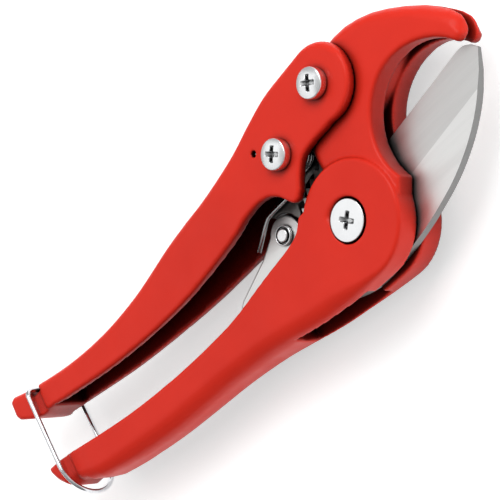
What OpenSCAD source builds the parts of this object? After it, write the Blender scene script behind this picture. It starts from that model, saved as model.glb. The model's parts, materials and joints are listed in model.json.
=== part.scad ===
// Ratchet pipe cutter for plastic pipe. It lies on its side: the handles run along X with the jaw
// at +X, the blade swings in the XY plane, and the pivot nuts rest on the plane z = 0.

/* [Jaw] */
// Radius of the round pipe seat
seat_r = 21.2; // [20:0.1:21.6]
// Half thickness of the hooked jaw
jaw_half = 9; // [8:0.1:9]

/* [Blade] */
// Thickness of the blade
blade_t = 3; // [2:0.1:3.2]
// Radius of the toothed heel
tooth_r = 26; // [24:0.1:26]
// Depth of the ratchet teeth
tooth_depth = 1.8; // [1:0.1:2.2]

/* [Handles] */
// Half thickness of both handles at the grips
grip_half = 8; // [7:0.1:8.4]
// Half thickness of the fixed handle's round head
head_half = 10.3; // [10:0.1:10.5]
// Half thickness of the lever handle's forked head
fork_half = 13; // [12.6:0.1:13.5]
// Half width of the hollow inside the grips
hollow_half = 5; // [4:0.1:5]

/* [Pivots] */
// Radius of the hardened bush that the blade turns on
main_bush_r = 5; // [4.6:0.1:5.4]
// Radius of the bush that the lever handle turns on
handle_bush_r = 4; // [3.5:0.1:4.4]
// Radius of the bush that the drive pawl turns on
pawl_bush_r = 3.5; // [3.2:0.1:4]
// Radial running clearance on every pivot
run_gap = 0.05; // [0.02:0.01:0.1]

/* [Lock ring] */
// Radius of the ring's wire
wire_r = 0.8; // [0.7:0.1:0.9]
// Half width of the ring, between wire centres
ring_half = 11.3; // [11:0.1:12]

/* [Hidden] */

$fn = 64;
paint = "orangered";
steel = "silver";
zinc = "gainsboro";
spring_steel = "darkgray";

// Pivots, in the drawing frame whose mid plane is the blade's
main_pivot = [45, -20.8];
handle_pivot = [60, 18.5];
pawl_pivot = [36.3, 9.7];
catch_pivot = [15.8, -5.6];
ring_pivot = [-102.7, 14.4];
// Centres of the pipe seat and of the fixed handle's round head
seat_c = [86.5, -11.5];
head_c = [45.6, -21.6];
head_r = 19;
lever_head_r = 12.7;
boss_r = 11.7;

// Fasteners
main_head_r = 6.5;
main_head_h = 2.6;
main_shank_r = 4;
main_washer_h = 1.5;
small_head_r = 4.9;
small_head_h = 3.8;
small_shank_r = 2.5;
catch_shank_r = 2;
catch_bush_r = 2.6;
rivet_head_r = 3.3;
// Hole that one leg of the lever's spring stands in
spring_hole = [27.7, 16.3];
spring_hole_r = 1.1;
small_nut_h = 4;
hex_main_r = 7.5;
hex_small_r = 4.62;

// Play between fixed parts and clearances
slot_half = blade_t / 2 + 0.3;
fork_gap = 0.3;
fork_in = jaw_half + fork_gap;
nose_gap = 0.4;
rest_z = fork_half + small_nut_h;
datum = [3.1, 4.85, rest_z];

// Blade angles
blade_closed = 16.3;
tooth_pitch = 7.2;
tooth_first = 92;
tooth_count = 17;

// ---- drawing helpers ----

function on_circle(c, r, a) = c + r * [cos(a), sin(a)];

// Points of an arc about c, from angle a to angle b, in n steps
function arc(c, r, a, b, n = 12) = [for (i = [0:n]) on_circle(c, r, a + (b - a) * i / n)];

function spline_at(a, b, c, d, t) = b + 0.5 * t * (c - a
    + t * (2 * a - 5 * b + 4 * c - d + t * (3 * b - 3 * c + d - a)));

// Smooth curve through the points p, n steps a span
function curve(p, n = 5) = let (last = len(p) - 1) concat(
    [for (i = [0:last - 1]) for (j = [0:n - 1])
        spline_at(p[max(i - 1, 0)], p[i], p[i + 1], p[min(i + 2, last)], j / n)],
    [p[last]]);

function turned(p, c, a) = let (v = p - c)
    c + [v[0] * cos(a) - v[1] * sin(a), v[0] * sin(a) + v[1] * cos(a)];

// Everything is drawn about the blade's mid plane and lifted onto the plane it rests on
module part(tint) { color(tint) translate([datum[0], datum[1], datum[2]]) children(); }

module prism(points, half) { translate([0, 0, -half]) linear_extrude(2 * half) polygon(points); }

module slab(points, z0, z1) { translate([0, 0, z0]) linear_extrude(z1 - z0) polygon(points); }

module pin(c, r, z0, z1) { translate([c[0], c[1], z0]) cylinder(r = r, h = z1 - z0); }

module tube(c, r_out, r_in, z0, z1) {
    difference() {
        pin(c, r_out, z0, z1);
        pin(c, r_in, z0 - 1, z1 + 1);
    }
}

// Straight round wire from p to q
module rod(p, q, r) {
    v = q - p;
    d = norm(v);
    translate(p) rotate([0, acos(v[2] / d), atan2(v[1], v[0])]) cylinder(r = r, h = d, $fn = 24);
}

// Close-wound coil about c: a stack of n turns, starting at z0
module coil(c, r, wire, z0, n) {
    for (i = [0:n - 1])
        translate([c[0], c[1], z0 + wire + i * 1.8 * wire])
            rotate_extrude($fn = 48) translate([r, 0]) circle(r = wire, $fn = 20);
}

// Side profile of a handle: half thickness along X, as [x, half] pairs
module side_profile(steps) {
    top = curve(steps, 4);
    rotate([90, 0, 0]) translate([0, 0, -70]) linear_extrude(140)
        polygon(concat(top, [for (i = [len(top) - 1:-1:0]) [top[i][0], -top[i][1]]]));
}

// Cross recess in a screw head, narrower at the bottom and turned by an angle
module cross_recess(c, z, w, t, depth, turn) {
    for (a = [0, 90]) translate([c[0], c[1], z]) rotate(a + turn) {
        translate([-w / 2, -t / 2, -depth / 2]) cube([w, t, depth]);
        translate([-w / 3, -t / 2, -depth]) cube([w / 1.5, t, depth]);
    }
}

// ---- outlines ----

hook_back = [[65.5, 28.8], [70, 29.3], [75, 29.1], [80, 28], [85, 26.3], [90, 23.8], [95, 20.8],
             [100, 17.2], [104.4, 13.1], [107.2, 10], [109, 6.8]];
hook_outline = concat(
    arc(handle_pivot, boss_r, 62, 180, 16),
    [[44.2, 8.5], [43, 5], [43, -10], [58, -24], [64.3, -25.4]],
    arc(seat_c, seat_r, 206, 33, 44),
    curve([[105.6, -0.2], [107.5, 0.7], [108.8, 2.5], [109.3, 4.6], [109, 6.8]], 3),
    [for (i = [len(hook_back) - 2:-1:1]) hook_back[i]]);

fixed_inner = [[-113, -10.4], [-104.5, -11.2], [-90, -13.8], [-70, -16.6], [-50, -18.2], [-30, -18.8],
               [-11, -18.2], [10, -15.3], [20, -13.8], [25.6, -12.1], [29.4, -8.5]];
fixed_back = [[45.6, -40.6], [32, -40.4], [20, -39.5], [10, -38], [0, -36.1], [-11, -34.4], [-27, -32.9],
              [-44, -32.2], [-60, -31.3], [-77, -29.2], [-93, -25.9], [-104, -22.8]];
knob_end = [[-107.2, -20.2], [-110.7, -16.4], [-112.8, -12.4]];
fixed_outline = concat(curve(fixed_inner), arc(head_c, head_r, 136, -84, 40), curve(fixed_back),
                       curve(knob_end, 3));

lever_back = [[50, 30.2], [40, 28.9], [30, 25.9], [20, 22.4], [10, 20.1], [0, 18.9], [-12, 18.2],
              [-24.5, 16.9], [-44.5, 13.4], [-64.5, 11.8], [-84.5, 12.8], [-104.5, 16.2], [-114, 18.7]];
lever_inner = [[-114.6, 10], [-106.5, 5.8], [-99, 5], [-89.5, 3.6], [-69.5, 0.7], [-49.5, -1],
               [-29.2, -1.7], [-12.3, -1], [5, 0.6], [13, 2.4], [20, 3], [25, 2], [28.6, -0.6]];
lever_throat = [[36.4, -3.9], [39.3, 0.3], [43, 3.8], [48, 5.1], [54, 5.6]];
lever_outline = concat(
    arc(handle_pivot, lever_head_r, -100, 100, 32),
    curve(lever_back),
    [[-115.2, 17.6], [-115.5, 12]],
    curve(lever_inner),
    arc([33.4, -3.1], 2.5, 215, 330, 8),
    curve(lever_throat));

// ---- castings ----

// Space that the blade sweeps inside the jaw, up to its fully closed edge
module blade_slot() {
    edge = concat(
        [for (t = [-14, 54]) turned(main_pivot + [t, 12.3], main_pivot, 9.5 + blade_closed)],
        [[94.4, 15.9], [101.5, 13.8], [125, 13.8], [125, -70], [10, -70]]);
    prism(edge, slot_half);
    pin(main_pivot, tooth_r + 0.6, -slot_half, slot_half);
}

// Hollow of the fixed handle: a channel open to the lever, and open at the back behind the teeth
fixed_hollow = concat(
    [[-97, 30], [-97, -19.6], [-94, -22.4]],
    curve([[-77, -25.8], [-60, -27.9], [-44, -28.8], [-27, -29.5], [-11, -31], [4.5, -33.2]]),
    [[4.5, -60], [36, -60], [36, -36], [36, -6], [36, 40]]);
// Hollow of the lever handle, open toward the fixed handle
lever_hollow = concat(
    [[-97, -20], [-97, 9.6], [-94, 11.4]],
    curve([[-84.5, 9.2], [-64.5, 8.3], [-44.5, 9.8], [-24.5, 13.4], [-12, 14.8], [0, 15.5], [10, 16.7],
           [20, 19], [30, 22.4], [40, 25.6], [46, 26.9]]),
    [[46, 50], [90, 50], [90, -20]]);
// Wall left standing in that hollow on the far side, and the lug on it that carries the catch
catch_wall = concat([[30, -10], [30, -30], [8, -30]], arc(catch_pivot, 5, 200, 40, 10));
catch_lug = concat([[30, -14], [14, -15.5]], arc(catch_pivot, 5, 200, 40, 10));

fixed_side = [[-118, grip_half - 4.6], [-111, grip_half - 2], [-104, grip_half], [-60, grip_half],
              [-35, grip_half + 0.4], [-10, head_half - 1.1], [14, head_half], [90, head_half]];
hook_side = [[30, jaw_half], [76, jaw_half], [90, jaw_half - 0.8], [103, jaw_half - 2.8],
             [112, jaw_half - 4]];
lever_side = [[-125, grip_half - 0.6], [-104, grip_half], [-60, grip_half], [-40, grip_half + 0.4],
              [-20, grip_half + 1.6], [0, fork_half - 1.4], [18, fork_half], [90, fork_half]];
lever_side_in = [[-125, hollow_half], [-60, hollow_half], [-40, hollow_half + 0.4],
                 [-20, hollow_half + 1.4], [0, fork_in - 1.3], [18, fork_in], [90, fork_in]];

// Groove for the lock ring round a handle's end, down to a core of half thickness core
module ring_groove(core, y0, y1) {
    x0 = ring_pivot[0] - 2;
    difference() {
        translate([x0, -40, -20]) cube([4, 80, 40]);
        translate([x0 - 1, y0, -core]) cube([6, y1 - y0, 2 * core]);
    }
}

module jaw_body() {
    part(paint) difference() {
        union() {
            intersection() {
                prism(hook_outline, jaw_half);
                side_profile(hook_side);
            }
            intersection() {
                prism(fixed_outline, head_half);
                side_profile(fixed_side);
            }
        }
        difference() {
            intersection() {
                prism(fixed_hollow, hollow_half + 0.4);
                translate([-98, -70, -20]) cube([200, 120, 40]);
            }
            slab(catch_wall, -20, -slot_half);
        }
        blade_slot();
        end_rounding();
        ring_groove(grip_half - 1.1, -22, 0);
        pin(main_pivot, main_bush_r, -20, 20);
        pin(main_pivot, main_head_r + 0.35, head_half - main_head_h + 0.2, 20);
        pin(main_pivot, 9.2, -slot_half - 3.1, 0);
        pin(handle_pivot, handle_bush_r + run_gap, -20, 20);
        pin(catch_pivot, catch_shank_r, -20, 20);
    }
    part(paint) difference() {
        slab(catch_lug, -8, -slot_half - 0.2);
        pin(catch_pivot, catch_shank_r, -20, 20);
    }
}

// Rounds the fixed handle's end, so that the ring can swing off it
module end_rounding() {
    round_r = grip_half;
    axis_y = -23 + round_r;
    difference() {
        translate([-120, -40, -20]) cube([23, 40 + axis_y, 40]);
        translate([-121, axis_y, 0]) rotate([0, 90, 0]) cylinder(r = round_r, h = 25);
    }
}

module upper_handle() {
    part(paint) difference() {
        intersection() {
            prism(lever_outline, fork_half);
            side_profile(lever_side);
        }
        intersection() {
            prism(lever_hollow, fork_half);
            side_profile(lever_side_in);
        }
        ring_groove(grip_half - 1.1, -10, ring_pivot[1] - wire_r - 0.15);
        pin(handle_pivot, small_shank_r, -20, 20);
        pin(pawl_pivot, small_shank_r, -20, 20);
        pin(spring_hole, spring_hole_r, 0, 20);
    }
}

// ---- blade ----

// Ratchet teeth round the heel: each rises slowly and drops steeply
function teeth() = [for (i = [0:tooth_count - 1]) let (a = tooth_first + i * tooth_pitch)
    for (s = [[0, tooth_r - tooth_depth], [0.18, tooth_r], [0.3, tooth_r]])
        on_circle(main_pivot, s[1], a + s[0] * tooth_pitch)];

blade_outline = concat(
    [[107.2, -3.8]],
    curve([[105.2, -1.4], [102.6, 0], [100, 0.1]], 3),
    [[66, -5.6], [55, -7.4]],
    arc(main_pivot, 14.5, 62, 86, 4),
    teeth(),
    curve([[24, -35.9], [36, -39], [48, -38.4], [60, -36.2], [70, -33.4], [80, -29.6], [90, -23.8],
           [98, -17], [104, -9.6]]));

module blade() {
    part(steel) difference() {
        prism(blade_outline, blade_t / 2);
        pin(main_pivot, main_bush_r + run_gap, -5, 5);
        for (side = [-1, 1]) bevel(side);
    }
}

// Ground bevel on one face of the blade: the steel thins toward the cutting edge
module bevel(side) {
    edge_angle = 9.5;
    edge_len = 60;
    translate([66, -5.6, 0]) rotate(edge_angle) rotate([90, 0, 90]) translate([0, 0, -12])
        linear_extrude(edge_len)
            polygon([[1, side * 0.2], [-14, side * blade_t / 2], [-14, side * (blade_t / 2 + 1)],
                     [1, side * (blade_t / 2 + 1)]]);
}

// ---- main pivot ----

module main_screw() {
    top = head_half + 0.4;
    part(zinc) difference() {
        union() {
            pin(main_pivot, main_head_r, top - main_head_h, top - 0.5);
            translate([main_pivot[0], main_pivot[1], top - 0.5])
                cylinder(r1 = main_head_r, r2 = main_head_r - 0.5, h = 0.5);
            pin(main_pivot, main_shank_r, -rest_z + 1, top - main_head_h);
        }
        cross_recess(main_pivot, top, 5.4, 1.2, 1.8, 47);
    }
}

module main_bush() {
    part(steel) tube(main_pivot, main_bush_r, main_shank_r, -head_half, head_half + 0.4 - main_head_h);
}

module main_washer() {
    part(zinc) tube(main_pivot, 8, main_shank_r, -head_half - main_washer_h, -head_half);
}

module hex_nut(c, r, bore, z0, z1) {
    difference() {
        translate([c[0], c[1], z0]) cylinder(r = r, h = z1 - z0, $fn = 6);
        pin(c, bore, z0 - 1, z1 + 1);
    }
}

module main_nut() {
    part(zinc) hex_nut(main_pivot, hex_main_r, main_shank_r, -rest_z, -head_half - main_washer_h);
}

module blade_washers() {
    middle = blade_t / 2 + 0.15;
    for (z = [-middle, middle]) part(zinc) tube(main_pivot, 10.2, main_bush_r, z - 0.1, z + 0.1);
}

module blade_spring() {
    part(spring_steel) {
        coil(main_pivot, 7, 0.55, -slot_half - 2.9, 2);
        rod([main_pivot[0] + 7, main_pivot[1], -slot_half - 2.3],
            [main_pivot[0] + 7.6, main_pivot[1] - 4.6, -slot_half - 2.3], 0.5);
    }
}

// ---- lever pivot and pawl pivot ----

module pan_screw(c, turn) {
    difference() {
        union() {
            translate([c[0], c[1], fork_half]) rotate_extrude() polygon(concat(
                [[0, 0], [small_head_r, 0], [small_head_r, small_head_h - 1.6]],
                arc([small_head_r - 1.6, small_head_h - 1.6], 1.6, 15, 90, 5),
                [[0, small_head_h]]));
            pin(c, small_shank_r, -rest_z + 0.8, fork_half);
        }
        cross_recess(c, fork_half + small_head_h, 5, 1.1, 2, turn);
    }
}

module handle_screw() { part(zinc) pan_screw(handle_pivot, 60); }
module pawl_screw() { part(zinc) pan_screw(pawl_pivot, 52); }

module handle_bush() { part(steel) tube(handle_pivot, handle_bush_r, small_shank_r, -fork_in, fork_in); }
module pawl_bush() { part(steel) tube(pawl_pivot, pawl_bush_r, small_shank_r, -fork_in, fork_in); }

module handle_nut() { part(zinc) hex_nut(handle_pivot, hex_small_r, small_shank_r, -rest_z, -fork_half); }
module pawl_nut() { part(zinc) hex_nut(pawl_pivot, hex_small_r, small_shank_r, -rest_z, -fork_half); }

// ---- pawls and springs ----

drive_pawl_outline = concat(
    arc(pawl_pivot, 5.1, -70, 130, 20),
    curve([[28, 10.4], [22, 6.4], [15.4, 3.6], [13.8, 2.4]], 3),
    arc(catch_pivot, 6.9, 96, 22, 10),
    arc(main_pivot, tooth_r + nose_gap, 143.5, 139, 3),
    [[25.9, 0.4], [30, 3.8], [33, 4.5]]);

module drive_pawl() {
    part("gray") difference() {
        prism(drive_pawl_outline, blade_t / 2);
        pin(pawl_pivot, pawl_bush_r + run_gap, -5, 5);
    }
}

// Torsion spring on the far side of the drive pawl, which turns it onto the teeth
module drive_pawl_spring() {
    part(spring_steel) {
        coil(pawl_pivot, 4.7, 0.6, -7.9, 5);
        rod([pawl_pivot[0] - 4.7, pawl_pivot[1], -7.3], [22.5, 13.6, -7.3], 0.6);
        rod([pawl_pivot[0] - 4.7, pawl_pivot[1], -2.98], [24.6, 4.8, -2.4], 0.55);
    }
}

// Torsion spring that opens the lever: one leg in the hole beside the screw, one on the catch's head
module handle_spring() {
    leg_z = 2.9;
    bend = [13.9, 2.3, leg_z];
    part(spring_steel) {
        coil(pawl_pivot, 4.8, 0.7, 2.2, 5);
        rod([pawl_pivot[0] - 4.8, pawl_pivot[1], 7.94], [spring_hole[0], spring_hole[1], 7.94], 0.7);
        pin(spring_hole, 0.7, 7.6, fork_half - 1.2);
        rod([pawl_pivot[0], pawl_pivot[1] - 4.8, leg_z], [24.5, 2.5, leg_z], 0.7);
        translate([24.5, 2.5, leg_z]) sphere(r = 0.78, $fn = 24);
        rod([24.5, 2.5, leg_z], bend, 0.7);
        translate(bend) sphere(r = 0.78, $fn = 24);
        rod(bend, [4.9, -4.4, leg_z], 0.7);
    }
}

catch_outline = concat(
    arc(catch_pivot, 6.3, -20, 150, 18),
    [[4, -6.4], [-10.5, -12.2], [-12.4, -13.6], [-11.6, -15], [2, -12.6], [9.5, -12]],
    [[14.6, -16.2], [17, -19.4]],
    arc(main_pivot, tooth_r + nose_gap, 177, 170, 3));

module catch_pawl() {
    part(steel) difference() {
        prism(catch_outline, blade_t / 2);
        pin(catch_pivot, catch_bush_r + run_gap, -5, 5);
    }
}

module catch_rivet() {
    part(zinc) {
        translate([catch_pivot[0], catch_pivot[1], blade_t / 2 + 0.1]) rotate_extrude() polygon(concat(
            [[0, 0], [rivet_head_r, 0]], arc([rivet_head_r - 0.8, 0.8], 0.8, 0, 90, 4), [[0, 1.6]]));
        pin(catch_pivot, catch_bush_r, -slot_half - 0.2, blade_t / 2 + 0.1);
        pin(catch_pivot, catch_shank_r, -8, -slot_half - 0.2);
        pin(catch_pivot, 3, -8.8, -8);
    }
}

// Hairpin of round wire from the fixed handle's floor to the catch's tail
module catch_spring() {
    part(spring_steel) {
        coil([-2, -26.4], 2.4, 0.5, -2.3, 5);
        rod([-4.4, -26.4, 1.3], [-8.6, -15.6, 0.3], 0.45);
        rod([-2, -28.8, -1.8], [8, -31.2, -1.8], 0.45);
    }
}

// ---- lock ring ----

// Quarter bend of the ring's wire in the plane x = 0, about [y, z], starting at angle a
module wire_bend(y, z, r, a, sweep) {
    translate([0, y, z]) rotate([90, 0, 90]) rotate(a)
        rotate_extrude(angle = sweep) translate([r, 0]) circle(r = wire_r, $fn = 24);
}

module lock_ring() {
    top_r = 3;
    bar_y = ring_pivot[1];
    low_y = -14.6;
    part(zinc) translate([ring_pivot[0], 0, 0]) {
        rod([0, bar_y, -ring_half + top_r], [0, bar_y, ring_half - top_r], wire_r);
        for (side = [-1, 1])
            rod([0, low_y, side * ring_half], [0, bar_y - top_r, side * ring_half], wire_r);
        wire_bend(bar_y - top_r, ring_half - top_r, top_r, 0, 90);
        wire_bend(bar_y - top_r, top_r - ring_half, top_r, 270, 90);
        wire_bend(low_y, 0, ring_half, 90, 180);
    }
}

jaw_body();
upper_handle();
blade();
main_screw();
main_bush();
main_washer();
main_nut();
blade_washers();
blade_spring();
handle_screw();
handle_bush();
handle_nut();
pawl_screw();
pawl_bush();
pawl_nut();
drive_pawl();
drive_pawl_spring();
handle_spring();
catch_pawl();
catch_rivet();
catch_spring();
lock_ring();
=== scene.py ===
"""Looks of the ratchet pipe cutter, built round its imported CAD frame. Castings and pawls are
meshed from distance fields whose outlines are sections of the CAD solids, with the edges rounded.
Screws, nuts, washer and rivet are meshed the same way from discs, hexagons and slabs. Springs and
the lock ring are swept wires. Blade, bushes, blade washers and blade spring are the CAD's own."""

import json
import math

import bpy
import numpy as np
from mathutils import Matrix, Vector
from mathutils.bvhtree import BVHTree


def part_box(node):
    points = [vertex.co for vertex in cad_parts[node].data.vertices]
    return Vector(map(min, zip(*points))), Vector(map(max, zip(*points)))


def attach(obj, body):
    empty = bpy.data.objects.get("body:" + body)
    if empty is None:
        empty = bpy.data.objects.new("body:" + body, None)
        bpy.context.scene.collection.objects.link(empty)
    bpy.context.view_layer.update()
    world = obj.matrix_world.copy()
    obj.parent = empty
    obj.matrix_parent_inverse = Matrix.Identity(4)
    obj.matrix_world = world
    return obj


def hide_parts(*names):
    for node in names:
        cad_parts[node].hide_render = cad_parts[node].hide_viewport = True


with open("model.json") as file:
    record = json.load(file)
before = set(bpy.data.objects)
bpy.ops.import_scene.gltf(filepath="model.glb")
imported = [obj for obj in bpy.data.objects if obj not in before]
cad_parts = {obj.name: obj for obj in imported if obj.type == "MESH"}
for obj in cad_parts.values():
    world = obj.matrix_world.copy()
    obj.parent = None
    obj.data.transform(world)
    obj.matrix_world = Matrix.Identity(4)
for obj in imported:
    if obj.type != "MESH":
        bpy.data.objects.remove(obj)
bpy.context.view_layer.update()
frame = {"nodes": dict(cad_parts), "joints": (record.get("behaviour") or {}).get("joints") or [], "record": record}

MM = 0.001


def joint_at(name):
    """Point on a joint's axis, in mm."""
    for j in frame["joints"]:
        if j["name"] == name:
            return np.array(j["pos_m"]) / MM
    raise KeyError(name)


MAIN = joint_at("blade_pivot")
LEVER = joint_at("lever_pivot")
PAWL = joint_at("drive_pawl_pivot")
CATCH = joint_at("catch_pivot")
RING = joint_at("ring_swing")
MID = MAIN[2]


def low_high(node):
    """Lowest and highest corner of a CAD node, in mm."""
    low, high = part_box(node)
    return np.array(low) / MM, np.array(high) / MM


def span(node):
    """Lowest and highest height of a CAD node above MID, in mm."""
    low, high = low_high(node)
    return low[2] - MID, high[2] - MID


# ---- sections of the CAD solids ----


def triangles(node):
    """Corners, n by 3 by 3, of a CAD node's triangles, in mm."""
    mesh = frame["nodes"][node].data
    mesh.calc_loop_triangles()
    co = np.empty(len(mesh.vertices) * 3, np.float32)
    mesh.vertices.foreach_get("co", co)
    index = np.empty(len(mesh.loop_triangles) * 3, np.int32)
    mesh.loop_triangles.foreach_get("vertices", index)
    return co.reshape(-1, 3)[index.reshape(-1, 3)].astype(float) / MM


def section(node, height):
    """Segments, n by 2 by 2, in which the plane z = MID + height cuts a node."""
    tri = triangles(node)
    side = tri[:, :, 2] - (MID + height)
    above = side > 0
    tri, side, above = (a[above.any(1) & ~above.all(1)] for a in (tri, side, above))
    ends = []
    for i in range(3):
        j = (i + 1) % 3
        t = side[:, i] / np.where(above[:, i] != above[:, j], side[:, i] - side[:, j], 1)
        point = tri[:, i] + (tri[:, j] - tri[:, i]) * t[:, None]
        ends.append(np.where((above[:, i] != above[:, j])[:, None], point[:, :2], np.nan))
    ends = np.stack(ends, 1)
    cut = ends[~np.isnan(ends[:, :, 0])].reshape(-1, 2, 2)
    return cut[np.hypot(*(cut[:, 1] - cut[:, 0]).T) > 1e-5]


def signed_distance(segments, X, Y):
    """Distance from grid points to a section's outline, negative inside the solid."""
    nearest = np.full(X.shape, 1e9)
    inside = np.zeros(X.shape, bool)
    for (x0, y0), (x1, y1) in segments:
        dx, dy = x1 - x0, y1 - y0
        t = np.clip(((X - x0) * dx + (Y - y0) * dy) / (dx * dx + dy * dy), 0, 1)
        np.minimum(nearest, (X - x0 - t * dx) ** 2 + (Y - y0 - t * dy) ** 2, out=nearest)
        if y0 != y1:
            inside ^= ((y0 > Y) != (y1 > Y)) & (X < x0 + (Y - y0) * dx / dy)
    return np.where(inside, -1, 1) * np.sqrt(nearest)


def walls(node, x, y):
    """Heights above MID at which a vertical line through (x, y) enters and leaves a node."""
    mesh = frame["nodes"][node].data
    tree = BVHTree.FromPolygons(
        [v.co for v in mesh.vertices], [p.vertices for p in mesh.polygons]
    )
    found = []
    for px, py in zip(x, y):
        z, hits = MID * MM, []
        while len(hits) < 2:
            at = tree.ray_cast(Vector((px * MM, py * MM, z)), Vector((0, 0, 1)))[0]
            if at is None:
                break
            hits.append(at.z / MM - MID)
            z = at.z + 1e-6
        found.append(hits)
    return found


# ---- distance fields ----


class Grid:
    """Sample points of a field, round a box in mm with a margin of two steps."""

    def __init__(self, low, high, step):
        margin = 2 * step
        self.step = step
        self.origin = np.array(low, float) - margin
        count = np.ceil((np.array(high) + margin - self.origin) / step).astype(int) + 1
        axes = [self.origin[i] + step * np.arange(count[i]) for i in range(3)]
        self.x, self.y = np.meshgrid(axes[0], axes[1], indexing="ij")
        self.X, self.Y = self.x[:, :, None], self.y[:, :, None]
        self.W = (axes[2] - MID)[None, None, :]
        self.count = count


def union(a, b, soft):
    """a and b in one, blended over about soft mm where they meet."""
    h = np.clip(0.5 + 0.5 * (b - a) / soft, 0, 1)
    return b + (a - b) * h - soft * h * (1 - h)


def cut(a, b, soft):
    """a without b."""
    return -union(-a, b, soft)


def plate(outline, height, radius):
    """Extrusion of a 2-D distance to +-height, with its edges rounded."""
    side, top = outline + radius, height + radius
    return (
        np.minimum(np.maximum(side, top), 0)
        + np.hypot(np.maximum(side, 0), np.maximum(top, 0))
        - radius
    )


def disc(grid, centre, radius):
    """Round column about a vertical axis."""
    return np.hypot(grid.X - centre[0], grid.Y - centre[1]) - radius


def between(grid, low, high):
    """Slab of heights above MID."""
    return np.abs(grid.W - (low + high) / 2) - (high - low) / 2


def surface_net(field, grid):
    """Vertices, quads and normals of the surface where field is 0."""
    inside = field < 0
    shape = np.array(field.shape)
    place = np.zeros((*(shape - 1), 3), np.float32)
    hits = np.zeros(shape - 1, np.int32)
    quads = []
    number = np.arange(np.prod(shape - 1)).reshape(shape - 1)
    for axis in range(3):
        others = [a for a in range(3) if a != axis]

        def part(array, first, second, along=slice(0, None)):
            where = [None] * 3
            where[axis], where[others[0]], where[others[1]] = along, first, second
            return array[tuple(where)]

        whole = slice(0, None)
        f0 = part(field, whole, whole, slice(0, -1))
        f1 = part(field, whole, whole, slice(1, None))
        in0 = part(inside, whole, whole, slice(0, -1))
        crossing = in0 != part(inside, whole, whole, slice(1, None))
        t = np.where(crossing, f0 / np.where(crossing, f0 - f1, 1), 0)
        index = np.indices(crossing.shape, dtype=np.float32)
        index[axis] += t
        lows, highs = slice(0, -1), slice(1, None)
        for first in (lows, highs):
            for second in (lows, highs):
                hit = part(crossing, first, second)
                hits += hit
                for a in range(3):
                    place[..., a] += part(index[a], first, second) * hit
        inner = part(crossing, slice(1, -1), slice(1, -1))
        corner = [
            part(number, first, second)[inner]
            for first, second in ((lows, lows), (highs, lows), (highs, highs), (lows, highs))
        ]
        outward = part(in0, slice(1, -1), slice(1, -1))[inner]
        if axis == 1:
            outward = ~outward
        quad = np.stack(corner, 1)
        quads.append(np.where(outward[:, None], quad, quad[:, ::-1]))
    used = hits > 0
    rank = np.cumsum(used.ravel()) - 1
    points = place[used] / hits[used][:, None]
    slope = np.stack(np.gradient(field), -1)
    mean = sum(
        slope[i : shape[0] - 1 + i, j : shape[1] - 1 + j, k : shape[2] - 1 + k]
        for i in (0, 1)
        for j in (0, 1)
        for k in (0, 1)
    )[used]
    mean /= np.maximum(np.linalg.norm(mean, axis=1), 1e-9)[:, None]
    return points * grid.step + grid.origin, rank[np.concatenate(quads)], mean


def new_piece(name, points, faces, body, nodes, material, normals=None):
    """Smooth-shaded piece from points in mm, that rides on a body and stands for CAD nodes."""
    mesh = bpy.data.meshes.new(name)
    faces = faces.tolist() if isinstance(faces, np.ndarray) else faces
    mesh.from_pydata((np.asarray(points) * MM).tolist(), [], faces)
    mesh.polygons.foreach_set("use_smooth", [True] * len(mesh.polygons))
    if normals is not None:
        mesh.normals_split_custom_set_from_vertices(normals.tolist())
    mesh.materials.append(material)
    piece = bpy.data.objects.new(name, mesh)
    bpy.context.scene.collection.objects.link(piece)
    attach(piece, body)
    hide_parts(*nodes)
    return piece


def field_piece(name, field, grid, body, nodes, material):
    """Piece from the surface where a field is 0."""
    points, faces, normals = surface_net(np.broadcast_to(field, grid.count), grid)
    return new_piece(name, points, faces, body, nodes, material, normals)


# ---- materials ----


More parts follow.
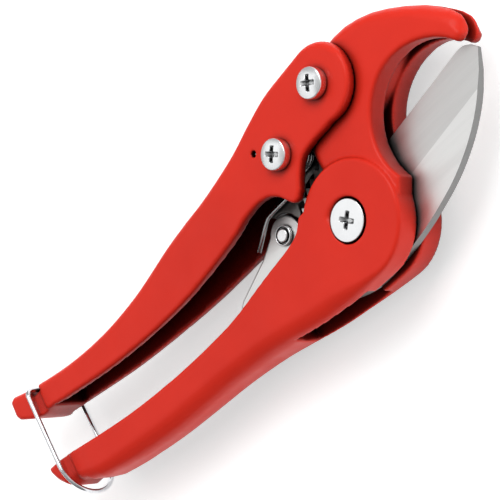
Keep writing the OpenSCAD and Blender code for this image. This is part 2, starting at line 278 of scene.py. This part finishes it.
class Nodes:
    """A material's node tree, with short calls to add and link."""

    def __init__(self, name):
        self.material = bpy.data.materials.new(name)
        self.material.use_nodes = True
        self.tree = self.material.node_tree
        self.shader = self.tree.nodes["Principled BSDF"]
        self.coordinates = self.add("ShaderNodeTexCoord")
        self.place = self.coordinates.outputs["Object"]

    def add(self, kind, **values):
        node = self.tree.nodes.new(kind)
        for key, value in values.items():
            socket = key.replace("_", " ")
            if socket in node.inputs:
                node.inputs[socket].default_value = value
            else:
                setattr(node, key, value)
        return node

    def link(self, out, into):
        self.tree.links.new(out, into)

    def noise(self, scale, detail=3.0, rough=0.55, stretch=(1, 1, 1)):
        mapping = self.add("ShaderNodeMapping")
        mapping.inputs["Scale"].default_value = stretch
        self.link(self.place, mapping.inputs["Vector"])
        noise = self.add("ShaderNodeTexNoise", Scale=scale, Detail=detail, Roughness=rough)
        self.link(mapping.outputs["Vector"], noise.inputs["Vector"])
        return noise.outputs["Fac"]

    def ramp(self, factor, stops):
        ramp = self.add("ShaderNodeValToRGB")
        band = ramp.color_ramp
        while len(band.elements) < len(stops):
            band.elements.new(0.5)
        for element, (position, colour) in zip(band.elements, stops):
            element.position = position
            element.color = (*colour, 1)
        self.link(factor, ramp.inputs["Fac"])
        return ramp.outputs["Color"]

    def bump(self, height, strength, distance):
        bump = self.add("ShaderNodeBump", Strength=strength, Distance=distance)
        self.link(height, bump.inputs["Height"])
        return bump.outputs["Normal"]

    def painted_recess_shade(self, reach, closed, dark, opened):
        """Painted shade for a base colour: white where a surface is open by more than opened, and dark
        where it is by less than closed, as fractions of its view over reach metres."""
        corner = self.add("ShaderNodeAmbientOcclusion", Distance=reach, samples=8)
        return self.ramp(corner.outputs["AO"], [(closed, dark), (opened, grey(1))])

    def painted_lean_shade(self, ground, side):
        """Painted shade by a face's lean: white on level faces, the painted shade ground on faces that
        lean a few degrees, and the painted shade side on steep ones.
        """
        normal = self.add("ShaderNodeSeparateXYZ")
        self.link(self.coordinates.outputs["Normal"], normal.inputs[0])
        upright = self.add("ShaderNodeMath", operation="ABSOLUTE")
        self.link(normal.outputs["Z"], upright.inputs[0])
        stops = [(0.3, side), (0.5, ground), (0.9968, ground), (0.9988, grey(1))]
        return self.ramp(upright.outputs[0], stops)

    def times(self, colour, shade):
        """The product of two colours."""
        mix = self.add("ShaderNodeMix", data_type="RGBA", blend_type="MULTIPLY")
        mix.inputs[0].default_value = 1.0
        self.link(colour, mix.inputs[6])
        self.link(shade, mix.inputs[7])
        return mix.outputs[2]

    def set(self, **values):
        for key, value in values.items():
            self.shader.inputs[key.replace("_", " ")].default_value = value

    def drive(self, **sources):
        for key, out in sources.items():
            self.link(out, self.shader.inputs[key.replace("_", " ")])


def grey(v):
    return (v, v, v)


def paint():
    """Enamel over a casting, with painted shade in its hollows, orange peel and duller patches."""
    m = Nodes("red_enamel")
    reds = [(0.3, (0.74, 0.026, 0.012)), (0.7, (0.80, 0.030, 0.014))]
    # painted shade: the enamel's colour darkens in hollows, where the casting hems the surface in
    depth = m.painted_recess_shade(0.026, 0.36, (0.02, 0.01, 0.01), 0.88)
    m.drive(Base_Color=m.times(m.ramp(m.noise(45, detail=4), reds), depth))
    m.drive(Roughness=m.ramp(m.noise(160, detail=5), [(0.35, grey(0.34)), (0.7, grey(0.46))]))
    m.drive(Normal=m.bump(m.noise(420, detail=2), 0.08, 0.0004))
    m.set(Coat_Weight=0.06, Coat_Roughness=0.15, Specular_IOR_Level=0.14)
    return m.material


def metal(name, low, high, roughness, scale, grain=(1, 1, 1), bump=0.05, reach=0.002, tones=None):
    """Bare or plated metal between the colours low and high, with painted shade in recesses. Grain
    stretches its noise, reach is how wide a recess may be, and tones are painted shades of bevels and edges."""
    m = Nodes(name)
    lines = m.noise(scale, detail=6, rough=0.7, stretch=grain)
    colour = m.ramp(lines, [(0.3, low), (0.7, high)])
    # painted shade: the metal's colour darkens in recesses
    colour = m.times(colour, m.painted_recess_shade(reach, 0.35, grey(0.06), 0.8))
    # painted shade: tones darken bevels a little and steep edge faces a lot, by their lean
    if tones:
        colour = m.times(colour, m.painted_lean_shade(*tones))
    m.drive(Base_Color=colour)
    worn = m.noise(scale * 0.4, detail=4, stretch=grain)
    m.drive(
        Roughness=m.ramp(worn, [(0.3, grey(roughness * 0.8)), (0.75, grey(roughness * 1.35))])
    )
    m.drive(Normal=m.bump(lines, bump, 0.0002))
    m.set(Metallic=1.0)
    return m.material


RED = paint()
# the blade's tones are painted shade on its bevels and, darker, on its edge faces and teeth sides
BLADE = metal(
    "satin_steel", (0.74, 0.74, 0.73), (0.80, 0.80, 0.79), 0.36, 400,
    grain=(0.06, 1, 1), bump=0.03, reach=0.006, tones=(grey(0.80), grey(0.30)),
)
ZINC = metal("zinc_plate", (0.84, 0.85, 0.86), (0.90, 0.91, 0.92), 0.24, 250, bump=0.01)
DARK = metal("dark_steel", (0.16, 0.15, 0.14), (0.26, 0.25, 0.24), 0.36, 500, reach=0.010)
WIRE = metal("spring_wire", (0.55, 0.56, 0.57), (0.72, 0.73, 0.74), 0.22, 900)
CHROME = metal("ring_wire", (0.62, 0.63, 0.65), (0.80, 0.81, 0.83), 0.12, 900)

# ---- castings ----

CAST_STEP = 0.6
HOLLOW_EDGE = 0.7  # rounding where a hollow opens outward
GROOVE_CORE = 6.9  # half thickness left inside the lock ring's groove
GROOVE_HALF = 2.0  # half width of that groove
# Heights above MID of sections that together show a casting's whole outline
FIXED_SECTIONS = (6, 2.5)
LEVER_SECTIONS = (-6.5, -7.5, -8.6, -10.2, -11.5)
HEAD_SECTION = 9.65  # at this height only the fixed handle's round head is left
CHANNEL_SECTION = 2.5  # shows the lever's channel
# Hollows of the fixed casting: height of a section, and the slab of heights it stands for
FIXED_HOLLOWS = ((3.5, -1, 5.4), (-3.5, -5.4, 1), (0, -1.8, 1.8))
MAIN_SINK = (6.85, 7.9)  # radius and floor of the main screw's counterbore
SPRING_HOLE = PAWL[:2] + (-8.6, 6.6)
PALM_EDGE = 5.3  # added to the 1 mm edge where the fixed handle is rounded most, underneath
KNOB_BARREL = 8.0  # radius of the knob's rounded underside


def outline_of(node, heights, grid):
    """Full outline of a casting, from sections that each show a part of it."""
    return np.minimum.reduce(
        [signed_distance(section(node, h), grid.x, grid.y) for h in heights]
    )


def sample(field, grid, points):
    """A 2-D field at the grid points next to some places."""
    i = np.rint((points[:, 0] - grid.origin[0]) / grid.step).astype(int)
    j = np.rint((points[:, 1] - grid.origin[1]) / grid.step).astype(int)
    return field[np.clip(i, 0, field.shape[0] - 1), np.clip(j, 0, field.shape[1] - 1)]


def recess(full, segments, grid):
    """Distance to the walls of what a section lacks of the full outline, positive in the gap."""
    inside_by, open_by = 0.7 * grid.step, 0.15
    here = signed_distance(segments, grid.x, grid.y)
    walls_only = segments[sample(full, grid, segments.mean(1)) < -inside_by]
    distance = np.abs(signed_distance(walls_only, grid.x, grid.y))
    gap = (here > 0) & ((full < 0) | (here > full + open_by))
    return np.where(gap, distance, -distance)


def outward(outline):
    """Direction at each grid point in which a 2-D distance grows."""
    gx, gy = np.gradient(outline)
    size = np.maximum(np.hypot(gx, gy), 1e-6)
    return gx / size, gy / size


def ease(v, low, high):
    """Smooth step from 0 at low to 1 at high."""
    t = np.clip((v - low) / (high - low), 0, 1)
    return t * t * (3 - 2 * t)


def bridged(field, grid, low, high):
    """Field whose columns between two x are a straight blend of the columns at those x."""
    i, j = (round((x - grid.origin[0]) / grid.step) for x in (low, high))
    t = np.linspace(0, 1, j - i + 1)[:, None]
    field = field.copy()
    field[i : j + 1] = (1 - t) * field[i] + t * field[j]
    return field


def heights_along(node, inside, grid, pick):
    """Height above MID of a casting's face at each x of the grid, measured every few mm on its
    deepest line, apart from the ring's groove, and then smoothed."""
    spacing, smoothing, lowest = 3, 9, 2.5
    columns = range(2, grid.x.shape[0] - 2, max(1, round(spacing / grid.step)))
    rows = [int(np.argmin(inside[i])) for i in columns]
    found = walls(node, [grid.x[i, 0] for i in columns], [grid.y[0, j] for j in rows])
    known = [(grid.x[i, 0], pick(h)) for i, h in zip(columns, found) if h]
    known = [k for k in known if k[1] > lowest and abs(k[0] - RING[0]) > GROOVE_HALF + 1]
    values = np.interp(grid.x[:, 0], *zip(*known))
    width = max(3, round(smoothing / grid.step) | 1)
    padded = np.pad(values, width // 2, mode="edge")
    return np.convolve(padded, np.ones(width) / width, mode="valid")[:, None]


def ring_groove(field, grid):
    """Field with the lock ring's groove cut into both faces."""
    along = np.abs(grid.X - RING[0]) - GROOVE_HALF
    return cut(field, np.maximum(along, GROOVE_CORE - np.abs(grid.W)), 0.5)


def lifted(plane):
    """2-D field as a column of heights."""
    return plane[:, :, None]


def slab_of(outline, thick, edge, grid):
    """Plate from a 2-D outline, with its half thickness and edge rounding at each point."""
    return plate(lifted(outline), np.abs(grid.W) - lifted(thick), lifted(edge))


def handle_edge(full, grid, knob):
    """Edge rounding of the fixed handle: wide under the palm, small at the head and the knob."""
    ny = outward(full)[1]
    start = RING[0] + GROOVE_HALF
    wide = np.interp(grid.x, (start, RING[0] + 30), (2.6, PALM_EDGE))
    under = wide * ease(-ny, 0.1, 0.8)
    return 1.0 + under * ease(MAIN[0] + 6 - grid.x, 0, 30) * (1 - knob) + 1.0 * knob


def hook_edge(full, grid):
    """Edge rounding of the jaw: small on the pipe's side, wide on the hook's back and tip."""
    seat = np.array(frame["record"]["mounts"][1]["pos_m"]) / MM
    nx, ny = outward(full)
    away = np.hypot(grid.x - seat[0], grid.y - seat[1])
    behind = (nx * (grid.x - seat[0]) + ny * (grid.y - seat[1])) / away
    return 1.0 + 3.0 * ease(behind, 0, 0.7) + 0.8 * ease(grid.x, seat[0], seat[0] + 18)


def fixed_casting():
    """Hooked jaw and fixed handle in one casting."""
    node = "jaw_body"
    grid = Grid(*low_high(node), CAST_STEP)
    outline = outline_of(node, FIXED_SECTIONS, grid)
    full = bridged(outline, grid, RING[0] + GROOVE_HALF, RING[0] + 11)
    column = grid.x[:, :1]
    measured = heights_along(node, full, grid, max)

    # Round head and handle, with the knob's underside rounded about the handle's own line
    head = np.minimum(
        outline_of(node, (HEAD_SECTION,), grid), np.maximum(full, grid.x - (MAIN[0] - 5))
    )
    thick = np.where(column > MAIN[0] - 25, span(node)[1], measured)
    knob = ease(RING[0] + GROOVE_HALF - 0.5 - grid.x, 0, 1.5)
    field = slab_of(head, thick, handle_edge(full, grid, knob), grid)
    barrel = np.hypot(np.minimum(grid.Y - (MAIN[1] + 5.8), 0), grid.W) - KNOB_BARREL
    field = np.where(lifted(knob) > 0, cut(field, -barrel, 0.3), field)

    # Jaw, from where it leaves the head
    start = MAIN[0] + 27
    at_start = np.interp(start, grid.x[:, 0], measured[:, 0])
    hook_thick = np.where(column < start, at_start, measured)
    hook = slab_of(full, hook_thick, hook_edge(full, grid), grid)
    limits = np.maximum(MAIN[0] - 2.6 - grid.X, MAIN[1] - 4.6 - grid.Y)
    field = union(field, np.maximum(hook, limits), 0.3)

    for height, low, high in FIXED_HOLLOWS:
        gap = lifted(recess(outline, section(node, height), grid))
        field = cut(field, np.maximum(-gap, between(grid, low, high)), HOLLOW_EDGE)
    field = ring_groove(field, grid)
    radius, floor_at = MAIN_SINK
    field = cut(field, np.maximum(disc(grid, MAIN, radius), floor_at - grid.W), 0.3)
    return field_piece("fixed_casting", field, grid, "jaw_body", [node], RED)


def lever_casting():
    """Lever handle: a fork over the jaw and a channel that opens toward the fixed handle."""
    node = "upper_handle"
    grid = Grid(*low_high(node), CAST_STEP)
    full = outline_of(node, LEVER_SECTIONS, grid)
    hollow = recess(full, section(node, CHANNEL_SECTION), grid)
    thick = heights_along(node, full, grid, max)
    inner = heights_along(node, np.maximum(-hollow, full), grid, min)
    edge = 1.1 + 1.6 * ease(outward(full)[1], -0.1, 0.7)
    field = slab_of(full, thick, edge, grid)
    channel = np.maximum(-lifted(hollow), np.abs(grid.W) - lifted(inner))
    field = ring_groove(cut(field, channel, HOLLOW_EDGE), grid)
    field = cut(field, np.maximum(disc(grid, SPRING_HOLE, 1.1), -grid.W), 0.3)
    return field_piece("lever_casting", field, grid, "lever", [node], RED)


fixed_casting()
lever_casting()

# ---- screws, nuts, washer, rivet and pawls ----

SCREW_STEP = 0.17
RIVET_STEP = 0.16
PRESSED_STEP = 0.28
M5, M8 = 2.5, 4  # radii of the shanks
PRESSED_EDGE = 0.3


def cross_recess(grid, centre, top, length, width, depth, turn):
    """Crosshead recess, whose wings narrow and shorten toward the bottom."""
    x, y = grid.X - centre[0], grid.Y - centre[1]
    c, s = math.cos(math.radians(turn)), math.sin(math.radians(turn))
    u, v = np.abs(c * x + s * y), np.abs(c * y - s * x)
    t = np.clip((top - grid.W) / depth, 0, 1)
    long, wide = length / 2 * (1 - 0.5 * t), width / 2 * (1 - 0.3 * t)
    wings = np.minimum(np.maximum(u - long, v - wide), np.maximum(v - long, u - wide))
    hub = np.hypot(u, v) - width * (0.85 - 0.3 * t)
    return np.maximum(np.minimum(wings, hub), top - depth - grid.W)


def screw(node, centre, body, head, shank, edge, crown, recess_size):
    """Crosshead screw: head (radius, height), shank (radius, lowest height), rounding of the
    head's edge, radius of its crown, and recess (length, width, depth, turn in degrees)."""
    grid = Grid(*low_high(node), SCREW_STEP)
    top = span(node)[1]
    under = top - head[1]
    field = plate(disc(grid, centre, head[0]), between(grid, under - edge, top), edge)
    field = np.maximum(field, under - grid.W)
    ball = np.hypot(disc(grid, centre, 0), grid.W - top + crown) - crown
    field = np.maximum(field, ball)
    rod = np.maximum(disc(grid, centre, shank[0]), between(grid, shank[1], under + 0.5))
    point = disc(grid, centre, shank[0] - 0.5) - (grid.W - shank[1])
    field = np.minimum(field, np.maximum(rod, point * 0.7))
    field = cut(field, cross_recess(grid, centre, top, *recess_size), 0.15)
    name = node.replace("_screw", "_cross_screw")
    return field_piece(name, field, grid, body, [node], ZINC)


def hexagon(grid, centre, corner_radius):
    """Six-sided column about a vertical axis."""
    x, y = grid.X - centre[0], grid.Y - centre[1]
    flats = [abs(math.sin(a) * x + math.cos(a) * y) for a in (0, math.pi / 3, -math.pi / 3)]
    across = np.maximum(np.maximum(flats[0], flats[1]), flats[2])
    return across - corner_radius * math.cos(math.pi / 6)


def nut(node, centre, shank_radius, body):
    """Hexagon nut, chamfered at the corners of its lower face."""
    low, high = low_high(node)
    grid = Grid(low, high, SCREW_STEP)
    corner = (high[0] - low[0]) / 2
    bottom, top = span(node)
    field = plate(hexagon(grid, centre, corner), between(grid, bottom, top), 0.12)
    cone = disc(grid, centre, corner * 0.92) - 1.7 * np.minimum(grid.W - bottom, 1.2)
    field = np.maximum(field, cone * 0.5)
    field = cut(field, disc(grid, centre, shank_radius), 0.2)
    name = node.replace("_nut", "_hex_nut")
    return field_piece(name, field, grid, body, [node], ZINC)


def steel_plate(node, body, material):
    """Pressed flat part, from the section of its CAD solid."""
    grid = Grid(*low_high(node), PRESSED_STEP)
    outline = lifted(signed_distance(section(node, 0), grid.x, grid.y))
    field = plate(outline, between(grid, *span(node)), PRESSED_EDGE)
    return field_piece(node + "_plate", field, grid, body, [node], material)


def washer():
    """Flat washer between the casting and the main nut."""
    node = "main_washer"
    low, high = low_high(node)
    grid = Grid(low, high, SCREW_STEP)
    field = plate(disc(grid, MAIN, (high[0] - low[0]) / 2), between(grid, *span(node)), 0.3)
    field = cut(field, disc(grid, MAIN, M8), 0.2)
    return field_piece("main_flat_washer", field, grid, "jaw_body", [node], ZINC)


def rivet():
    """Catch rivet with a formed head: a low rim, a groove and a raised middle."""
    node = "catch_rivet"
    grid = Grid(*low_high(node), RIVET_STEP)
    bottom, top = span(node)
    head_low = top - 1.6
    rim = plate(disc(grid, CATCH, 3.3), between(grid, head_low, top - 0.5), 0.3)
    middle = plate(disc(grid, CATCH, 2.2), between(grid, head_low, top), 0.5)
    groove = np.maximum(np.abs(disc(grid, CATCH, 2.45)) - 0.3, head_low + 0.35 - grid.W)
    head = cut(np.minimum(rim, middle), groove, 0.1)
    shoulder = np.maximum(disc(grid, CATCH, 2.6), between(grid, -2, head_low + 0.2))
    shank = np.maximum(disc(grid, CATCH, 2), between(grid, bottom, 0))
    tail = plate(disc(grid, CATCH, 3), between(grid, bottom, bottom + 0.8), 0.3)
    field = np.minimum(np.minimum(np.minimum(head, shoulder), shank), tail)
    name = "catch_formed_rivet"
    return field_piece(name, field, grid, "jaw_body", [node], ZINC)


screw(
    "main_screw", MAIN, "jaw_body", head=(6.5, 2.6), shank=(M8, -16), edge=0.45, crown=70,
    recess_size=(5.8, 1.35, 1.8, 47),
)
for which, centre, turn in (("handle", LEVER, 60), ("pawl", PAWL, 52)):
    screw(
        which + "_screw", centre, "lever", head=(4.9, 3.8), shank=(M5, -16.2), edge=1.3, crown=16,
        recess_size=(5.6, 1.4, 2.2, turn),
    )
    nut(which + "_nut", centre, M5, "lever")
nut("main_nut", MAIN, M8, "jaw_body")
washer()
rivet()
steel_plate("drive_pawl", "drive_pawl", DARK)
steel_plate("catch_pawl", "catch_pawl", BLADE)

# ---- wires ----


def unit(v):
    """Vectors at length 1."""
    return v / np.maximum(np.linalg.norm(v, axis=-1, keepdims=True), 1e-9)


def swept(path, radius, closed):
    """Points and faces of a round wire along a path."""
    sides = 14
    path = np.array(path, float)
    ahead = np.roll(path, -1, 0) - path
    behind = path - np.roll(path, 1, 0)
    if not closed:
        ahead[-1], behind[0] = behind[-1], ahead[0]
    along = unit(unit(ahead) + unit(behind))
    across = unit(np.cross(along[0], (0.31, 0.17, 0.93)))
    rings = []
    turn = np.linspace(0, 2 * np.pi, sides, endpoint=False)
    for place, tangent in zip(path, along):
        across = unit(across - tangent * (across @ tangent))
        other = np.cross(tangent, across)
        circle = np.cos(turn)[:, None] * across + np.sin(turn)[:, None] * other
        rings.append(place + radius * circle)
    count = len(path)
    faces = []
    if closed:
        gap = [np.linalg.norm(rings[0][k] - rings[-1][0]) for k in range(sides)]
        shift = int(np.argmin(gap))
    for i in range(count if closed else count - 1):
        j = (i + 1) % count
        skew = shift if closed and j == 0 else 0
        for k in range(sides):
            a, b = i * sides + k, i * sides + (k + 1) % sides
            c, d = j * sides + (k + 1 + skew) % sides, j * sides + (k + skew) % sides
            faces.append((a, b, c, d))
    if not closed:
        faces += [tuple(range(sides))[::-1], tuple((count - 1) * sides + k for k in range(sides))]
    return np.concatenate(rings), faces


def bent(corners, radius):
    """Polyline with each corner turned into an arc-like bend."""
    steps = 8
    corners = [np.array(c, float) for c in corners]
    path = [corners[0]]
    for before, here, after in zip(corners, corners[1:], corners[2:]):
        back, on = before - here, after - here
        room = min(radius, 0.45 * np.linalg.norm(back), 0.45 * np.linalg.norm(on))
        start = here + back / np.linalg.norm(back) * room
        end = here + on / np.linalg.norm(on) * room
        for t in np.linspace(0, 1, steps):
            path.append((1 - t) ** 2 * start + 2 * t * (1 - t) * here + t * t * end)
    return path + [corners[-1]]


def coil(centre, radius, start, sweep, low, high):
    """Helix about a vertical axis, angles in degrees and heights above MID."""
    count = max(8, round(abs(sweep) / 12))
    path = []
    for t in np.linspace(0, 1, count):
        a = math.radians(start + sweep * t)
        height = MID + low + (high - low) * t
        path.append((centre[0] + radius * math.cos(a), centre[1] + radius * math.sin(a), height))
    return path


def wire_piece(name, path, radius, body, node, material, closed=False):
    """Piece from a round wire, that stands for one CAD node."""
    points, faces = swept(path, radius, closed)
    return new_piece(name, points, faces, body, [node], material)


def at(centre, dx, dy, height):
    """Point beside an axis, at a height above MID."""
    return (centre[0] + dx, centre[1] + dy, MID + height)


def tangent_angle(centre, radius, point, side):
    """Angle on a circle at which a line to point touches it."""
    dx, dy = point[0] - centre[0], point[1] - centre[1]
    return math.degrees(math.atan2(dy, dx) + side * math.acos(radius / math.hypot(dx, dy)))


# Each wire takes its CAD solid's route in plan. A true helix stands for the CAD's stack of rings,
# so some heights and wire radii differ from the solid's by up to half a mm.


def lever_spring():
    """Torsion spring round the pawl's bush, one leg in a hole and one over the catch's head."""
    radius, wire = 4.8, 0.7
    first, last = 8.4, 2.9
    hook = at(SPRING_HOLE, 0, 0, first)
    foot = at(PAWL, -11.8, -7.2, last)
    start = tangent_angle(PAWL, radius, hook, 1)
    end = tangent_angle(PAWL, radius, foot, -1)
    turns = coil(PAWL, radius, start, 3 * 360 + (end - start) % 360, first, last)
    path = bent([at(SPRING_HOLE, 0, 0, 11.8), hook, turns[0]], 1.2)[:-1] + turns
    leg = [path[-1], foot, at(CATCH, -1.9, 7.9, last), at(CATCH, -10.9, 1.2, last)]
    path += bent(leg, 1.6)[1:]
    return wire_piece("lever_torsion_spring", path, wire, "lever", "handle_spring", WIRE)


def drive_spring():
    """Torsion spring on the far side of the drive pawl, which turns it onto the teeth."""
    radius, wire = 4.7, 0.6
    first, last = -7.3, -2.98
    fixed_leg = at(PAWL, -13.8, 3.9, first)
    free_leg = at(PAWL, -11.7, -4.9, -2.6)
    start = tangent_angle(PAWL, radius, fixed_leg, 1)
    end = tangent_angle(PAWL, radius, free_leg, -1)
    turns = coil(PAWL, radius, start, 2 * 360 + (end - start) % 360, first, last)
    path = [fixed_leg] + turns + [free_leg]
    return wire_piece("drive_torsion_spring", path, wire, "lever", "drive_pawl_spring", WIRE)


def catch_hairpin():
    """Hairpin spring from the fixed handle's floor to the catch's tail."""
    radius, wire = 2.4, 0.45
    first, last = -1.8, 1.3
    centre = CATCH + (-17.8, -20.8, 0)
    turns = coil(centre, radius, -90, -5 * 360 + 270, first, last)
    path = [at(centre, 10, -4.8, first)] + turns + [at(centre, -6.6, 10.8, 0.3)]
    return wire_piece("catch_hairpin_spring", path, wire, "jaw_body", "catch_spring", WIRE)


def ring():
    """Lock ring: a straight bar in the lever's groove and a round bend under the fixed handle."""
    low, high = low_high("lock_ring")
    wire = (high[0] - low[0]) / 2
    half = (high[2] - low[2]) / 2 - wire
    corner, steps = 3.0, 8
    bar, bend = high[1] - wire, low[1] + wire + half
    x = (low[0] + high[0]) / 2
    path = [(x, bar, MID + z) for z in np.linspace(half - corner, corner - half, 6)]
    for i in range(1, steps + 1):
        a = math.radians(90 * i / steps)
        y, z = bar - corner * (1 - math.cos(a)), MID - half + corner * (1 - math.sin(a))
        path.append((x, y, z))
    path += [(x, y, MID - half) for y in np.linspace(bar - corner, bend, 8)[1:-1]]
    for a in np.linspace(0, np.pi, 33):
        path.append((x, bend - half * math.sin(a), MID - half * math.cos(a)))
    path += [(x, y, MID + half) for y in np.linspace(bend, bar - corner, 8)[1:-1]]
    for i in range(steps):
        a = math.radians(90 * i / steps)
        y, z = bar - corner * (1 - math.sin(a)), MID + half - corner * (1 - math.cos(a))
        path.append((x, y, z))
    return wire_piece("lock_ring_wire", path, wire, "lock_ring", "lock_ring", CHROME, closed=True)


lever_spring()
drive_spring()
catch_hairpin()
ring()

# CAD nodes that stay, with the material each one gets
NODE_FINISH = {
    "blade": BLADE,
    "main_bush": DARK,
    "blade_washers": ZINC,
    "blade_spring": WIRE,
    "handle_bush": DARK,
    "pawl_bush": DARK,
}
for name, finish in NODE_FINISH.items():
    node = frame["nodes"][name]
    node.data.materials.clear()
    node.data.materials.append(finish)

# ---- floor, light and camera ----

FLOOR_HALF = 3
FLOOR_DROP = 0.0003  # metres below the nuts, so that no faces share a plane

floor_mesh = bpy.data.meshes.new("floor")
corners = [(FLOOR_HALF * x, FLOOR_HALF * y, 0) for x, y in ((-1, -1), (1, -1), (1, 1), (-1, 1))]
floor_mesh.from_pydata(corners, [], [(0, 1, 2, 3)])
floor = bpy.data.objects.new("floor", floor_mesh)
floor.location.z = -FLOOR_DROP
bpy.context.scene.collection.objects.link(floor)
ground = Nodes("pale_floor")
ground.drive(Base_Color=ground.ramp(ground.noise(40), [(0.3, grey(0.90)), (0.7, grey(0.93))]))
ground.set(Roughness=0.7, Specular_IOR_Level=0.2)
ground.set(Emission_Color=(1, 1, 1, 1), Emission_Strength=0.5)
floor_mesh.materials.append(ground.material)

# Viewing angle: the tool lies on its nuts and is seen from above, turned and tilted
TILT = math.radians(43)
TURN = math.radians(35)
DISTANCE = 0.75
SENSOR, LENS = 36, 172.8  # mm
ALONG = Vector((math.cos(TURN), -math.sin(TURN), 0))
UP = Vector((math.sin(TURN), math.cos(TURN), 0))
RIGHT = math.cos(TILT) * ALONG - math.sin(TILT) * Vector((0, 0, 1))
BACK = math.sin(TILT) * ALONG + math.cos(TILT) * Vector((0, 0, 1))
TARGET = Vector(MAIN + (-45, 20.8, 0)) * MM


camera_data = bpy.data.cameras.new("camera")
camera_data.sensor_width = SENSOR
camera_data.lens = LENS
camera_data.clip_start = 0.05
camera = bpy.data.objects.new("camera", camera_data)
axes = Matrix((RIGHT, UP, BACK)).transposed().to_4x4()
camera.matrix_world = Matrix.Translation(TARGET + DISTANCE * BACK) @ axes
bpy.context.scene.collection.objects.link(camera)
bpy.context.scene.camera = camera


def softbox(name, direction, distance, width, height, power):
    """Area light that faces the tool, placed by a direction in the camera's own axes."""
    data = bpy.data.lights.new(name, "AREA")
    data.shape = "RECTANGLE"
    data.size, data.size_y, data.energy = width, height, power
    lamp = bpy.data.objects.new(name, data)
    away = (direction[0] * RIGHT + direction[1] * UP + direction[2] * BACK).normalized()
    lamp.location = TARGET + away * distance
    lamp.rotation_euler = away.to_track_quat("Z", "Y").to_euler()
    bpy.context.scene.collection.objects.link(lamp)


softbox("key", (-0.5, 0.8, 0.9), 0.9, 0.55, 0.6, 4.4)
softbox("side", (-1.0, 0.0, 0.08), 0.8, 0.75, 0.75, 1.1)
softbox("fill", (0.5, 0.3, 1.0), 1.1, 0.5, 0.6, 0.5)

world = bpy.data.worlds.new("studio")
world.use_nodes = True
sky = world.node_tree
toward = sky.nodes.new("ShaderNodeVectorMath")
toward.operation = "DOT_PRODUCT"
toward.inputs[1].default_value = (0.45 * UP - 0.5 * RIGHT + 0.74 * BACK).normalized()
shade = sky.nodes.new("ShaderNodeMapRange")
for socket, value in (("From Min", -0.6), ("From Max", 0.9), ("To Min", 0.04), ("To Max", 0.52)):
    shade.inputs[socket].default_value = value
sky.links.new(sky.nodes.new("ShaderNodeTexCoord").outputs["Generated"], toward.inputs[0])
sky.links.new(toward.outputs["Value"], shade.inputs["Value"])
sky.links.new(shade.outputs["Result"], sky.nodes["Background"].inputs["Strength"])
sky.nodes["Background"].inputs["Color"].default_value = (1, 1, 1, 1)
bpy.context.scene.world = world
bpy.context.scene.view_settings.view_transform = "Standard"
